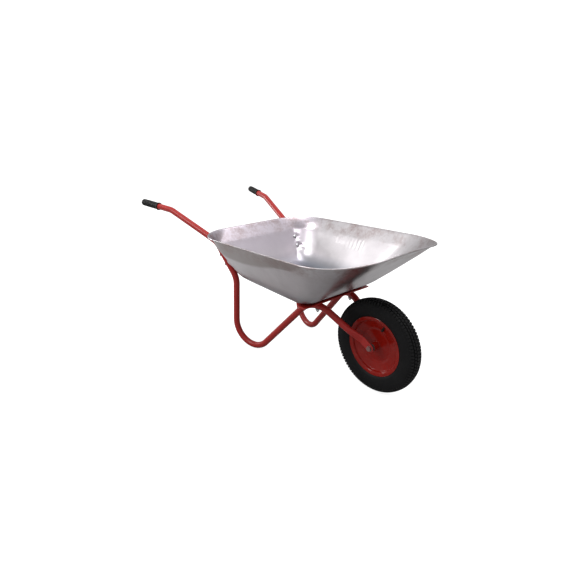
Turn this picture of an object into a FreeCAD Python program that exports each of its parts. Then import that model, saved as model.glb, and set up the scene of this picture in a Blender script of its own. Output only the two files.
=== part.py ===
import FreeCAD, Part
import math
import os

# Wheelbarrow: one pneumatic wheel, two bent tube rails and a pressed sheet tray.
# Millimetres. +X points forward, from the grips to the wheel, +Y to the left, +Z up.
# The origin is on the ground, in the middle of the length and the width.
# "back" is a distance behind the axle, measured along X.

Vec = FreeCAD.Vector

# ---- overall ----
overall_length = 1381.0
tyre_diameter = 360.0
tyre_width = 58.0
tyre_radius = tyre_diameter / 2
grip_end_back = overall_length - tyre_radius

# ---- rails: each is one tube bent in its own upright plane, splayed from the wheel ----
tube_diameter = 27.0
tube_wall = 1.5
rail_offset_at_axle = 41.0
rail_splay = 0.229
grip_height = 557.0
handle_bend_back = 0.8376 * grip_end_back
handle_bend_height = 545.0
shoulder_back = 0.6103 * grip_end_back
shoulder_height = 446.0
knee_back = 0.5221 * grip_end_back
knee_height = 306.0
foot_back = 0.5279 * grip_end_back
handle_bend_radius = 90.0
shoulder_bend_radius = 75.0
knee_bend_radius = 80.0
foot_bend_radius = 94.0
saddle_back = tyre_radius + 43.0
saddle_bend_radius = 99.0

# ---- flattened fork ends ----
fork_taper_length = 60.0
fork_plate_length = 42.0
fork_plate_width = 37.0
fork_plate_thickness = 4.0
fork_inside_gap = 0.75

# ---- tray ----
sheet = 1.2
floor_height = 307.0
floor_front_back = saddle_back - 18.0
floor_half_width = 189.0
floor_rear_corner_radius = 12.0
floor_front_corner_radius = 45.0
floor_bend_radius = 11.0
rim_rear_back = 0.6353 * grip_end_back
rim_rear_height = 490.0
rim_front_ahead = 95.0
rim_front_height = tyre_diameter + 190.0
rim_half_width = 305.0
rim_rear_corner_radius = 160.0
rim_front_corner_radius = 215.0
lip_rear_height = 442.0
lip_front_ahead = 34.0
lip_front_height = tyre_diameter + 142.0
lip_half_width = 272.0
lip_rear_corner_radius = 36.0
lip_front_corner_radius = 172.0

# ---- strap under the tray floor ----
strap_thickness = 4.5
strap_width = 40.0
strap_half_length = 180.0

# ---- grips ----
grip_length = 116.0
grip_diameter = 31.0
grip_collar_diameter = 36.0
grip_collar_length = 5.0
grip_end_wall = 6.0
grip_nose_radius = 11.0
grip_rib_count = 9
grip_rib_pitch = 9.5
grip_rib_depth = 1.0
grip_rib_width = 3.0

# ---- wheel ----
axle_diameter = 12.0
axle_head_width = 17.0
axle_head_height = 6.5
axle_nut_height = 10.0
axle_tail = 4.0
axle_spacer_diameter = 19.0
axle_washer_diameter = 21.0
bush_running_gap = 0.06
bush_flange = 3.0
bush_length = 18.0
bush_flange_diameter = 30.0
bush_wall = 6.0
hub_half_length = 30.0
hub_wall = 3.0
rim_sheet = 1.6
rim_flange_diameter = 230.0
rim_seat_diameter = 203.2
rim_half_width_at_flange = 22.0
rim_well_depth = 3.0
rim_well_half_width = 9.0
rim_disc_diameter = 132.0
tyre_wall = 5.5
tyre_bead_width = 9.0
tyre_bead_flare = 1.0
tyre_tread_half_width = 24.0
tyre_crown_drop = 5.0
tyre_bulge_radius = 149.0
tyre_shoulder_radius = 168.0
tyre_shoulder_inset = 2.5
tyre_chamber_inset = 12.0
tyre_crown_thickness = 12.0
tube_rubber = 1.5
valve_angle = 70.0
valve_diameter = 7.0
valve_length = 25.0
valve_outset = 7.0
valve_tilt = 13.0
valve_cap_diameter = 9.5
valve_cap_length = 8.0
valve_cap_overlap = 6.0

# ---- M8 tray bolts ----
bolt_diameter = 8.0
bolt_head_diameter = 18.0
bolt_head_height = 4.5
bolt_tail = 5.0
nut_width = 13.0
nut_height = 6.5
washer_diameter = 18.0
washer_thickness = 1.6
rear_bolt_heights = (402.0, 366.0)

# ---- clearances ----
seat_gap = 0.3
hole_gap = 0.3
thread_gap = 0.05
cut_over = 30.0
measuring_slack = 0.01

tube_radius = tube_diameter / 2
axle_x = overall_length / 2 - tyre_radius
axle_height = tyre_radius
wheel_centre = Vec(axle_x, 0, axle_height)
SIDES = (("right", -1), ("left", 1))
DIAGONAL = math.sqrt(0.5)

os.makedirs("parts", exist_ok=True)


# ---- helpers ----

def export(name, *solids):
    """Write one node: a single solid, or a group of separate solids."""
    shape = solids[0] if len(solids) == 1 else Part.makeCompound(list(solids))
    shape.exportStep("parts/" + name + ".step")


def stand(shape, base, direction):
    """Move a shape built along +Z from the origin so that +Z points along direction."""
    turn = FreeCAD.Rotation(Vec(0, 0, 1), direction)
    placed = shape.copy()
    placed.Placement = FreeCAD.Placement(base, turn)
    return placed


def ring(outer_radius, inner_radius, height):
    """A plain washer or sleeve along +Z."""
    body = Part.makeCylinder(outer_radius, height)
    bore = Part.makeCylinder(inner_radius, height + 2, Vec(0, 0, -1))
    return body.cut(bore)


def hexagon(across_flats, height):
    """A hexagonal prism along +Z with its outer corners chamfered at both ends."""
    corner_radius = across_flats / math.sqrt(3)
    corners = []
    for step in range(7):
        angle = math.radians(60 * step)
        corners.append(Vec(corner_radius * math.cos(angle), corner_radius * math.sin(angle), 0))
    prism = Part.Face(Part.makePolygon(corners)).extrude(Vec(0, 0, height))
    chamfer = corner_radius - across_flats / 2
    flat_radius = across_flats / 2
    profile = [Vec(0, 0, 0), Vec(flat_radius, 0, 0), Vec(corner_radius, 0, chamfer),
               Vec(corner_radius, 0, height - chamfer), Vec(flat_radius, 0, height), Vec(0, 0, height)]
    cone = Part.Face(Part.makePolygon(profile + profile[:1]))
    return prism.common(cone.revolve(Vec(0, 0, 0), Vec(0, 0, 1), 360))


def round_path(points, radii):
    """A wire of straight runs through points, each inner corner rounded to its radius."""
    edges = []
    start = points[0]
    for corner, radius, after in zip(points[1:-1], radii, points[2:]):
        back_way = (start - corner).normalize()
        front_way = (after - corner).normalize()
        half_angle = back_way.getAngle(front_way) / 2
        reach = radius / math.tan(half_angle)
        into = corner + back_way * reach
        out = corner + front_way * reach
        bisector = (back_way + front_way).normalize()
        middle = corner + bisector * (radius / math.sin(half_angle) - radius)
        edges.append(Part.makeLine(start, into))
        edges.append(Part.Arc(into, middle, out).toShape())
        start = out
    edges.append(Part.makeLine(start, points[-1]))
    return Part.Wire(edges)


def round_bar(path, radius):
    """A solid bar of the given radius along a path."""
    first = path.Edges[0]
    start = first.valueAt(first.FirstParameter)
    way = first.tangentAt(first.FirstParameter)
    circle = Part.Wire(Part.makeCircle(radius, start, way))
    return path.makePipeShell([circle], True, False)


def meet(point_a, way_a, point_b, way_b):
    """Where two lines in the rail's own plane cross."""
    cross = way_a.x * way_b.y - way_a.y * way_b.x
    apart = point_b - point_a
    along = (apart.x * way_b.y - apart.y * way_b.x) / cross
    return point_a + way_a * along


def about_axle(profile):
    """Turn a closed profile of (radius, y) about the wheel's axis."""
    return profile.revolve(Vec(0, 0, 0), Vec(0, 1, 0), 360)


def wheel_place(shape):
    """Move a shape built about the origin to the wheel's centre."""
    moved = shape.copy()
    moved.translate(wheel_centre)
    return moved


# ---- rail line: worked out in the rail's own upright plane, x forward and y up ----

splay_angle = math.atan(rail_splay)
strap_bottom = floor_height - strap_thickness
saddle_height = strap_bottom - seat_gap - tube_radius


def in_plane(back, height):
    return Vec(-back / math.cos(splay_angle), height, 0)


def in_space(point, side):
    back = -point.x * math.cos(splay_angle)
    return Vec(axle_x - back, side * (rail_offset_at_axle + rail_splay * back), point.y)


grip_end = in_plane(grip_end_back, grip_height)
handle_bend = in_plane(handle_bend_back, handle_bend_height)
shoulder = in_plane(shoulder_back, shoulder_height)
knee = in_plane(knee_back, knee_height)
axle_point = in_plane(0, axle_height)

# The leg leans a little; the foot bend's lowest line just touches the ground.
foot_centre_height = tube_radius + foot_bend_radius
leg_way = (in_plane(foot_back, foot_centre_height) - knee).normalize()
leg_lean = math.asin(abs(leg_way.x))
foot_reach = Vec(foot_bend_radius / math.cos(leg_lean), 0, 0)
foot_centre = in_plane(foot_back, foot_centre_height) + foot_reach
saddle_centre = in_plane(saddle_back, saddle_height - saddle_bend_radius)

# The arm is the line that touches both bends, rising from the foot to the saddle.
foot_to_saddle = saddle_centre - foot_centre
both_bends = foot_bend_radius + saddle_bend_radius
arm_angle = math.atan2(foot_to_saddle.y, foot_to_saddle.x)
arm_angle += math.asin(both_bends / foot_to_saddle.Length)
arm_way = Vec(math.cos(arm_angle), math.sin(arm_angle), 0)
arm_point = foot_centre + Vec(arm_way.y, -arm_way.x, 0) * foot_bend_radius

# The fork falls from the saddle bend straight to the axle.
saddle_to_axle = axle_point - saddle_centre
fork_angle = math.atan2(saddle_to_axle.y, saddle_to_axle.x)
fork_angle += math.acos(saddle_bend_radius / saddle_to_axle.Length) - math.pi / 2
fork_way = Vec(math.cos(fork_angle), math.sin(fork_angle), 0)

foot_corner = meet(knee, leg_way, arm_point, arm_way)
saddle_corner = meet(arm_point, arm_way, axle_point, fork_way)
taper_start = axle_point - fork_way * (fork_taper_length + fork_plate_length)


# ---- rear wall of the tray: it lies along the straight stretch of the rails ----

wall_run = (shoulder_back - knee_back) / (shoulder_height - knee_height)
wall_offset = (tube_radius + seat_gap) * math.hypot(1, wall_run)
wall_way_out = Vec(-1, 0, -wall_run).normalize()


def rail_x(height):
    """Where the rails' centre line is, along the straight stretch behind the tray."""
    return axle_x - knee_back - wall_run * (height - knee_height)


def wall_x(height):
    """Where the outer face of the tray's rear wall is."""
    return rail_x(height) + wall_offset


# ---- tray ----

def quarter(centre, start_way, end_way, radius):
    """A quarter circle about centre, from one way to the next."""
    middle_way = (start_way + end_way) * DIAGONAL
    return Part.Arc(centre + start_way * radius, centre + middle_way * radius,
                    centre + end_way * radius).toShape()


def tray_section(line, inset):
    """A closed line round the tray, in a plane that tilts from its rear to its front."""
    rear_x, rear_z, front_x, front_z, half_width, rear_radius, front_radius = line
    rear_inset, front_inset, side_inset = inset
    back_x = rear_x + rear_inset
    length = math.hypot(front_x - front_inset - back_x, front_z - rear_z)
    half = half_width - side_inset
    rear_r = rear_radius - side_inset
    front_r = front_radius - side_inset
    tilt = math.degrees(math.atan2(front_z - rear_z, front_x - rear_x))
    ahead, left = Vec(1, 0, 0), Vec(0, 1, 0)
    rear_left = Vec(rear_r, half - rear_r, 0)
    front_left = Vec(length - front_r, half - front_r, 0)
    front_right = Vec(length - front_r, front_r - half, 0)
    rear_right = Vec(rear_r, rear_r - half, 0)
    corners = [
        quarter(rear_left, -ahead, left, rear_r),
        quarter(front_left, left, ahead, front_r),
        quarter(front_right, ahead, -left, front_r),
        quarter(rear_right, -left, -ahead, rear_r),
    ]
    edges = []
    for before, corner in zip(corners[-1:] + corners, corners):
        edges.append(Part.makeLine(before.Vertexes[-1].Point, corner.Vertexes[0].Point))
        edges.append(corner)
    wire = Part.Wire(edges)
    turn = FreeCAD.Rotation(Vec(0, 1, 0), -tilt)
    wire.Placement = FreeCAD.Placement(Vec(back_x, 0, rear_z), turn)
    return wire


floor_line = (wall_x(floor_height), floor_height, axle_x - floor_front_back, floor_height,
              floor_half_width, floor_rear_corner_radius, floor_front_corner_radius)
lip_line = (wall_x(lip_rear_height), lip_rear_height, axle_x + lip_front_ahead, lip_front_height,
            lip_half_width, lip_rear_corner_radius, lip_front_corner_radius)
rim_line = (axle_x - rim_rear_back, rim_rear_height, axle_x + rim_front_ahead, rim_front_height,
            rim_half_width, rim_rear_corner_radius, rim_front_corner_radius)
above_line = tuple(2 * rim - lip for rim, lip in zip(rim_line, lip_line))


def wall_inset(lower, upper, thickness):
    """The level shift at the rear, front and sides that leaves a sloping wall this thick."""
    rear = math.hypot(1, (lower[0] - upper[0]) / (upper[1] - lower[1]))
    front = math.hypot(1, (upper[2] - lower[2]) / (upper[3] - lower[3]))
    side_rise = (upper[1] + upper[3] - lower[1] - lower[3]) / 2
    side = math.hypot(1, (upper[4] - lower[4]) / side_rise)
    return (thickness * rear, thickness * front, thickness * side)


def tray_block(lines, insets):
    """A solid block with the tray's outline, ruled straight from line to line."""
    sections = [tray_section(line, inset) for line, inset in zip(lines, insets)]
    return Part.makeLoft(sections, True, True)


def bend_floor(block, radius, level):
    """Round the edges between the floor and the walls."""
    low = [edge for edge in block.Edges if edge.BoundBox.ZMax < level + measuring_slack]
    return block.makeFillet(radius, low)


no_inset = (0.0, 0.0, 0.0)
lower_inset = wall_inset(floor_line, lip_line, sheet)
upper_inset = wall_inset(lip_line, rim_line, sheet)
sheet_rise = sheet / (lip_rear_height - floor_height)
raised = tuple(low + (high - low) * sheet_rise for low, high in zip(floor_line, lip_line))
inner_height = floor_height + sheet
inner_floor = (raised[0], inner_height, raised[2], inner_height) + raised[4:]

outer = tray_block([floor_line, lip_line, rim_line], [no_inset, no_inset, no_inset])
outer = bend_floor(outer, floor_bend_radius, floor_height)
inner = tray_block([inner_floor, lip_line, rim_line, above_line],
                   [lower_inset, lower_inset, upper_inset, upper_inset])
inner = bend_floor(inner, floor_bend_radius - sheet, inner_height)
tray = outer.cut(inner)

# Bolt lines through the tray, the strap and the rails.
clear_radius = bolt_diameter / 2 + hole_gap
rear_bolt_lines = []
for height in rear_bolt_heights:
    back = axle_x - rail_x(height)
    for _, side in SIDES:
        on_rail = Vec(rail_x(height), side * (rail_offset_at_axle + rail_splay * back), height)
        on_wall = on_rail - wall_way_out * (tube_radius + seat_gap + sheet)
        rear_bolt_lines.append((on_wall, wall_way_out, sheet))

front_bolt_lines = []
saddle_x = axle_x - saddle_back
for _, side in SIDES:
    y = side * (rail_offset_at_axle + rail_splay * saddle_back)
    on_floor = Vec(saddle_x, y, inner_height)
    front_bolt_lines.append((on_floor, Vec(0, 0, -1), sheet + strap_thickness))


def drill(shape, lines):
    """Cut a bolt hole along each line, from in front of its seat to past the tube."""
    for seat, way, _ in lines:
        hole = Part.makeCylinder(clear_radius, 2 * cut_over + tube_diameter)
        shape = shape.cut(stand(hole, seat - way * cut_over / 2, way))
    return shape


tray = drill(drill(tray, rear_bolt_lines), front_bolt_lines)
export("tray", tray)

strap = Part.makeBox(strap_width, 2 * strap_half_length, strap_thickness,
                     Vec(saddle_x - strap_width / 2, -strap_half_length, strap_bottom))
export("cross_strap", drill(strap, front_bolt_lines))


# ---- rails ----

def ring_corners(centre, way, high, wide):
    """Four corners of a section square to way, high up and down and wide to each side."""
    out = Vec(way.z, 0, -way.x).cross(way).normalize()
    up = way.cross(out)
    corners = [centre + up * high + out * wide, centre - up * high + out * wide,
               centre - up * high - out * wide, centre + up * high - out * wide]
    return corners, up, out


def tube_ring(centre, way, radius):
    """A circle square to way, in four arcs."""
    high = radius * math.cos(ring_corner_angle)
    wide = radius * math.sin(ring_corner_angle)
    (a, b, c, d), up, out = ring_corners(centre, way, high, wide)
    return Part.Wire([
        Part.Arc(a, centre + out * radius, b).toShape(),
        Part.Arc(b, centre - up * radius, c).toShape(),
        Part.Arc(c, centre - out * radius, d).toShape(),
        Part.Arc(d, centre + up * radius, a).toShape(),
    ])


def slot_ring(centre, way, half_width, half_thickness):
    """A flat slot shape with round ends, square to way."""
    (a, b, c, d), up, _ = ring_corners(centre, way, half_width - half_thickness, half_thickness)
    return Part.Wire([
        Part.makeLine(a, b),
        Part.Arc(b, centre - up * half_width, c).toShape(),
        Part.makeLine(c, d),
        Part.Arc(d, centre + up * half_width, a).toShape(),
    ])


def fork_plate(axle_hub, fork_line):
    """The flat end of the fork, rounded about the axle hole."""
    half_width = fork_plate_width / 2
    up = Vec(-fork_line.z, 0, fork_line.x)
    start = axle_hub - fork_line * fork_plate_length
    outline = Part.Wire([
        Part.makeLine(start - up * half_width, axle_hub - up * half_width),
        Part.Arc(axle_hub - up * half_width, axle_hub + fork_line * half_width,
                 axle_hub + up * half_width).toShape(),
        Part.makeLine(axle_hub + up * half_width, start + up * half_width),
        Part.makeLine(start + up * half_width, start - up * half_width),
    ])
    outline.translate(Vec(0, -fork_plate_thickness / 2, 0))
    return Part.Face(outline).extrude(Vec(0, fork_plate_thickness, 0))


def rail(side):
    """One rail: a bent tube with its fork end squeezed flat round the axle hole."""
    corners = (grip_tube_end, handle_bend, shoulder, knee, foot_corner, saddle_corner, taper_start)
    bends = (handle_bend_radius, shoulder_bend_radius, knee_bend_radius, foot_bend_radius,
             saddle_bend_radius)
    points = [in_space(corner, side) for corner in corners]
    path = round_path(points, bends)
    bore_radius = tube_radius - tube_wall
    fork_line = Vec(math.cos(fork_angle), 0, math.sin(fork_angle))
    axle_hub = Vec(axle_x, side * rail_offset_at_axle, axle_height)
    plate_start = axle_hub - fork_line * fork_plate_length
    join = points[-1]
    tube_way = (in_space(axle_point, side) - join).normalize()
    half_width = fork_plate_width / 2
    taper = Part.makeLoft([
        tube_ring(join, tube_way, tube_radius),
        slot_ring(plate_start, fork_line, half_width, fork_plate_thickness / 2),
    ], True, True)
    hollow = Part.makeLoft([
        tube_ring(join, tube_way, bore_radius),
        slot_ring(plate_start, fork_line, half_width - tube_wall, fork_inside_gap / 2),
    ], True, True)
    solid = round_bar(path, tube_radius).fuse([taper, fork_plate(axle_hub, fork_line)])
    solid = solid.cut([round_bar(path, bore_radius), hollow])
    hole = Part.makeCylinder(axle_diameter / 2 + hole_gap, cut_over,
                             axle_hub - Vec(0, cut_over / 2, 0), Vec(0, 1, 0))
    return solid.cut(hole)


ring_corner_angle = math.radians(15)
handle_way = (handle_bend - grip_end).normalize()
grip_tube_end = grip_end + handle_way * (grip_end_wall + seat_gap)

for name, side in SIDES:
    lines = [line for line in rear_bolt_lines + front_bolt_lines if line[0].y * side > 0]
    export("frame_rail_" + name, drill(rail(side), lines))


# ---- grips: a ribbed sleeve pushed over each handle ----

def grip():
    """A grip along +Z from its rounded outer end, with a bore for the tube."""
    radius = grip_diameter / 2
    nose = grip_nose_radius
    nose_centre = Vec(radius - nose, 0, nose)
    edges = [
        Part.makeLine(Vec(0, 0, 0), Vec(radius - nose, 0, 0)),
        quarter(nose_centre, Vec(0, 0, -1), Vec(1, 0, 0), nose),
    ]
    at = Vec(radius, 0, nose)
    collar_start = grip_length - grip_collar_length
    first_rib = collar_start - (grip_rib_count + 0.5) * grip_rib_pitch
    stops = []
    for index in range(grip_rib_count):
        start = first_rib + index * grip_rib_pitch
        end = start + grip_rib_width
        stops += [(radius, start), (radius - grip_rib_depth, start + grip_rib_depth),
                  (radius - grip_rib_depth, end), (radius, end + grip_rib_depth)]
    stops += [(radius, collar_start - grip_rib_depth), (grip_collar_diameter / 2, collar_start),
              (grip_collar_diameter / 2, grip_length), (0, grip_length)]
    for across, along in stops:
        edges.append(Part.makeLine(at, Vec(across, 0, along)))
        at = Vec(across, 0, along)
    edges.append(Part.makeLine(at, Vec(0, 0, 0)))
    body = Part.Face(Part.Wire(edges)).revolve(Vec(0, 0, 0), Vec(0, 0, 1), 360)
    bore = Part.makeCylinder(tube_radius + hole_gap, grip_length, Vec(0, 0, grip_end_wall))
    return body.cut(bore)


for name, side in SIDES:
    end = in_space(grip_end, side)
    way = (in_space(handle_bend, side) - end).normalize()
    export("grip_" + name, stand(grip(), end, way))


# ---- wheel: rim halves, hub, bushes ----

def rim_half(side):
    """A pressed rim half, from its flange lip across the bead seat and down to the hub."""
    seat = rim_seat_diameter / 2
    flange_y = rim_half_width_at_flange
    inner_y = flange_y - rim_sheet
    disc_y = seat_gap / 2
    hole = hub_radius + hole_gap / 2
    well = seat - rim_well_depth
    disc = rim_disc_diameter / 2
    tyre_face = [(flange_top, inner_y), (seat, inner_y - rim_sheet),
                 (well, rim_well_half_width), (disc, disc_y), (hole, disc_y)]
    open_face = [(hole, disc_y + rim_sheet), (disc - rim_sheet / 4, disc_y + rim_sheet),
                 (well - rim_sheet, rim_well_half_width + rim_sheet / 2),
                 (seat - rim_sheet, flange_y - rim_sheet / 2), (flange_top, flange_y)]
    corners = [Vec(radius, side * y, 0) for radius, y in tyre_face + open_face]
    half = about_axle(Part.Face(Part.makePolygon(corners + corners[:1])))
    if side < 0:
        half = half.cut(valve_line(valve_diameter / 2 + hole_gap, 0, valve_length))
    return wheel_place(half)


def valve_line(radius, start, end):
    """A round bar along the valve, from start to end below the tube's inner face."""
    turn = math.radians(valve_angle)
    outward = Vec(math.cos(turn), 0, math.sin(turn))
    tilt = math.radians(valve_tilt)
    way = outward * -math.cos(tilt) + Vec(0, -math.sin(tilt), 0)
    root_radius = bead_radius + seat_gap / 2 - valve_diameter / 2 * math.sin(tilt)
    root = outward * root_radius + Vec(0, -valve_outset, 0)
    return stand(Part.makeCylinder(radius, end - start), root + way * start, way)


flange_top = rim_flange_diameter / 2
bead_radius = rim_seat_diameter / 2 + seat_gap
bush_bore = axle_diameter / 2 + bush_running_gap
bush_radius = bush_bore + bush_wall
hub_radius = bush_radius + hub_wall

hub = ring(hub_radius, bush_radius + thread_gap, 2 * hub_half_length)
export("hub_tube", wheel_place(stand(hub, Vec(0, -hub_half_length, 0), Vec(0, 1, 0))))

for name, side in SIDES:
    flange = ring(bush_flange_diameter / 2, bush_bore, bush_flange)
    bush = ring(bush_radius, bush_bore, bush_length).fuse(flange)
    mouth = Vec(0, side * (hub_half_length + bush_flange), 0)
    export("hub_bush_" + name, wheel_place(stand(bush, mouth, Vec(0, -side, 0))))
    export("rim_half_" + name, rim_half(side))

# ---- tyre and inner tube ----

bead_y = rim_half_width_at_flange - 2 * rim_sheet - seat_gap
half_tyre = tyre_width / 2
crown_edge = tyre_radius - tyre_crown_drop


def tyre_outline():
    """The tyre's outer line: bead, bulging wall, shoulder and crown."""
    heel = Vec(bead_radius, bead_y, 0)
    lift = Vec(flange_top, bead_y + tyre_bead_flare, 0)
    bulge = Vec(tyre_bulge_radius, half_tyre, 0)
    shoulder_point = Vec(tyre_shoulder_radius, half_tyre - tyre_shoulder_inset, 0)
    edge = Vec(crown_edge, tyre_tread_half_width, 0)
    flip = [Vec(p.x, -p.y, 0) for p in (heel, lift, bulge, shoulder_point, edge)]
    return [
        Part.makeLine(heel, lift),
        Part.Arc(lift, bulge, shoulder_point).toShape(),
        Part.makeLine(shoulder_point, edge),
        Part.Arc(edge, Vec(tyre_radius, 0, 0), flip[4]).toShape(),
        Part.makeLine(flip[4], flip[3]),
        Part.Arc(flip[3], flip[2], flip[1]).toShape(),
        Part.makeLine(flip[1], flip[0]),
        Part.makeLine(flip[0], heel),
    ]


def air_chamber():
    """The closed line of the space inside the tyre, down to the rim."""
    toe = Vec(bead_radius, bead_y - tyre_bead_width, 0)
    neck = Vec(flange_top, bead_y - tyre_wall, 0)
    bulge = Vec(tyre_bulge_radius, half_tyre - tyre_wall, 0)
    top = Vec(tyre_shoulder_radius - tyre_wall, half_tyre - tyre_chamber_inset, 0)
    crown = Vec(tyre_radius - tyre_crown_thickness, 0, 0)
    flip = [Vec(p.x, -p.y, 0) for p in (toe, neck, bulge, top)]
    return Part.Wire([
        Part.makeLine(toe, neck),
        Part.Arc(neck, bulge, top).toShape(),
        Part.Arc(top, crown, flip[3]).toShape(),
        Part.Arc(flip[3], flip[2], flip[1]).toShape(),
        Part.makeLine(flip[1], flip[0]),
        Part.makeLine(flip[0], toe),
    ])


chamber = Part.Face(air_chamber())
outline = Part.Face(Part.Wire(tyre_outline()))
export("tyre", wheel_place(about_axle(outline).cut(about_axle(chamber))))

tube_outside = chamber.makeOffset2D(-seat_gap)
tube_inside = chamber.makeOffset2D(-seat_gap - tube_rubber)
inner_tube = about_axle(tube_outside).cut(about_axle(tube_inside))
export("inner_tube", wheel_place(inner_tube))

stem = valve_line(valve_diameter / 2, 0, valve_length)
export("valve_stem", wheel_place(stem))
cap_start = valve_length - valve_cap_overlap
cap = valve_line(valve_cap_diameter / 2, cap_start, cap_start + valve_cap_length)
cap = cap.cut(valve_line(valve_diameter / 2 + thread_gap, 0, valve_length + thread_gap))
export("valve_cap", wheel_place(cap))

# ---- axle bolt, nut, washers and spacers ----

fork_outer_face = rail_offset_at_axle + fork_plate_thickness / 2
fork_inner_face = rail_offset_at_axle - fork_plate_thickness / 2
axle_hole = axle_diameter / 2 + thread_gap
head_seat = fork_outer_face + washer_thickness
shank_length = 2 * head_seat + axle_nut_height + axle_tail
shank = Part.makeCylinder(axle_diameter / 2, shank_length)
head = hexagon(axle_head_width, axle_head_height)
axle = stand(shank, Vec(0, -head_seat, 0), Vec(0, 1, 0))
axle = axle.fuse(stand(head, Vec(0, -head_seat, 0), Vec(0, -1, 0)))
export("axle_bolt", wheel_place(axle))

nut = hexagon(axle_head_width, axle_nut_height)
nut = nut.cut(Part.makeCylinder(axle_hole, axle_nut_height))
export("axle_nut", wheel_place(stand(nut, Vec(0, head_seat, 0), Vec(0, 1, 0))))

washers = []
for _, side in SIDES:
    washer = ring(axle_washer_diameter / 2, axle_hole, washer_thickness)
    washer = stand(washer, Vec(0, side * fork_outer_face, 0), Vec(0, side, 0))
    washers.append(wheel_place(washer))
export("axle_washers", *washers)

spacer_start = hub_half_length + bush_flange + seat_gap
for name, side in SIDES:
    spacer = ring(axle_spacer_diameter / 2, axle_hole, fork_inner_face - spacer_start)
    spacer = stand(spacer, Vec(0, side * spacer_start, 0), Vec(0, side, 0))
    export("axle_spacer_" + name, wheel_place(spacer))

# ---- tray bolts, washers and nuts ----

def cup_head_bolt(grip_reach):
    """A cup-head bolt along +Z: the head is below the origin, the shank above it."""
    rise = bolt_head_height
    radius = bolt_head_diameter / 2
    dome_radius = (radius * radius + rise * rise) / (2 * rise)
    slope = math.asin(radius / dome_radius) / 2
    drop = dome_radius * (1 - math.cos(slope)) - rise
    middle = Vec(dome_radius * math.sin(slope), 0, drop)
    dome = Part.Face(Part.Wire([
        Part.makeLine(Vec(0, 0, 0), Vec(0, 0, -rise)),
        Part.Arc(Vec(0, 0, -rise), middle, Vec(radius, 0, 0)).toShape(),
        Part.makeLine(Vec(radius, 0, 0), Vec(0, 0, 0)),
    ])).revolve(Vec(0, 0, 0), Vec(0, 0, 1), 360)
    length = grip_reach + washer_thickness + nut_height + bolt_tail
    return dome.fuse(Part.makeCylinder(bolt_diameter / 2, length))


def fasteners(prefix, lines, hollow=0.0):
    """Bolts, washers and nuts; hollow is how far the tube curves away under a washer."""
    bolts = []
    washers = []
    nuts = []
    hole = bolt_diameter / 2 + thread_gap
    for seat, way, plates in lines:
        reach = plates + tube_diameter + 2 * seat_gap + hollow
        bolts.append(stand(cup_head_bolt(reach), seat, way))
        washer = ring(washer_diameter / 2, hole, washer_thickness)
        washers.append(stand(washer, seat + way * reach, way))
        nut = hexagon(nut_width, nut_height)
        nut = nut.cut(Part.makeCylinder(hole, nut_height))
        nuts.append(stand(nut, seat + way * (reach + washer_thickness), way))
    export(prefix + "_bolts", *bolts)
    export(prefix + "_washers", *washers)
    export(prefix + "_nuts", *nuts)


saddle_under = saddle_bend_radius - tube_radius
saddle_hollow = saddle_under - math.sqrt(saddle_under ** 2 - (washer_diameter / 2) ** 2)
fasteners("rear", rear_bolt_lines)
fasteners("front", front_bolt_lines, saddle_hollow)
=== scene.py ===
import math

import bmesh
import bpy
import numpy as np
from mathutils import Matrix, Vector


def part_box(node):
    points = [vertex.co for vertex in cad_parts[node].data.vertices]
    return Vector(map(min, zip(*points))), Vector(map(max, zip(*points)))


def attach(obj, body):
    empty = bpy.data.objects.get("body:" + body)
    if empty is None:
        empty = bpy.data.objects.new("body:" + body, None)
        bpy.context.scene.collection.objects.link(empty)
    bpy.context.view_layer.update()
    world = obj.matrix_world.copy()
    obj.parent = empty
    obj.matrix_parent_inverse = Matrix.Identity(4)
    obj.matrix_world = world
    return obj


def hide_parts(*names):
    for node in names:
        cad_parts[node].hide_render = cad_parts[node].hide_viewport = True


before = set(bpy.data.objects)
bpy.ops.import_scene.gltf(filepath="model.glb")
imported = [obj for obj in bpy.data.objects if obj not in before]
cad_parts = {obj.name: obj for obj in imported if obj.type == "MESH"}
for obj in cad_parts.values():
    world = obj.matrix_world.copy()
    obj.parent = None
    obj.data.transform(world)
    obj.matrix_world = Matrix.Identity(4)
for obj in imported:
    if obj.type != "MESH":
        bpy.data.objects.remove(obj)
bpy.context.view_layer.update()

# ---------------------------------------------------------------------------
# Shared numbers, in metres. Each rail lies in an upright plane beside the wheel that
# splays outwards towards the handle. The tray's rear wall leans on the two rails.

axle_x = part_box("tyre")[1].x - (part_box("tyre")[1].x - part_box("tyre")[0].x) / 2
axle_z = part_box("tyre")[1].z / 2
sheet = 0.0012
tube_r = 0.0135
offset_at_axle = 0.041
splay = 0.229
knee_back, knee_height = 0.62704, 0.306
wall_lean = 0.75664
wall_off_tube = 0.0173
rear_bolt_heights = (0.402, 0.366)
floor_z = 0.307


def rail_back(height):
    """How far behind the axle the rail's slope above the knee is at a height."""
    return knee_back + wall_lean * (height - knee_height)


def rail_y(back):
    """How far from the middle a rail stands at a distance behind the axle."""
    return offset_at_axle + splay * back


def wall_rear(height):
    """Where the tray's rear wall is at a height."""
    return axle_x - rail_back(height) + wall_off_tube


# ---------------------------------------------------------------------------
# Making meshes from grids of points.


def quads(rows, columns, ring_rows, ring_columns):
    """Corner numbers of every four-sided face of a grid; a ring joins its last line to its first."""
    i = np.arange(rows if ring_rows else rows - 1)[:, None]
    j = np.arange(columns if ring_columns else columns - 1)[None, :]
    below, beside = (i + 1) % rows, (j + 1) % columns
    corners = [i * columns + j, i * columns + beside, below * columns + beside, below * columns + j]
    return np.stack(corners, -1).reshape(-1, 4)


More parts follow.
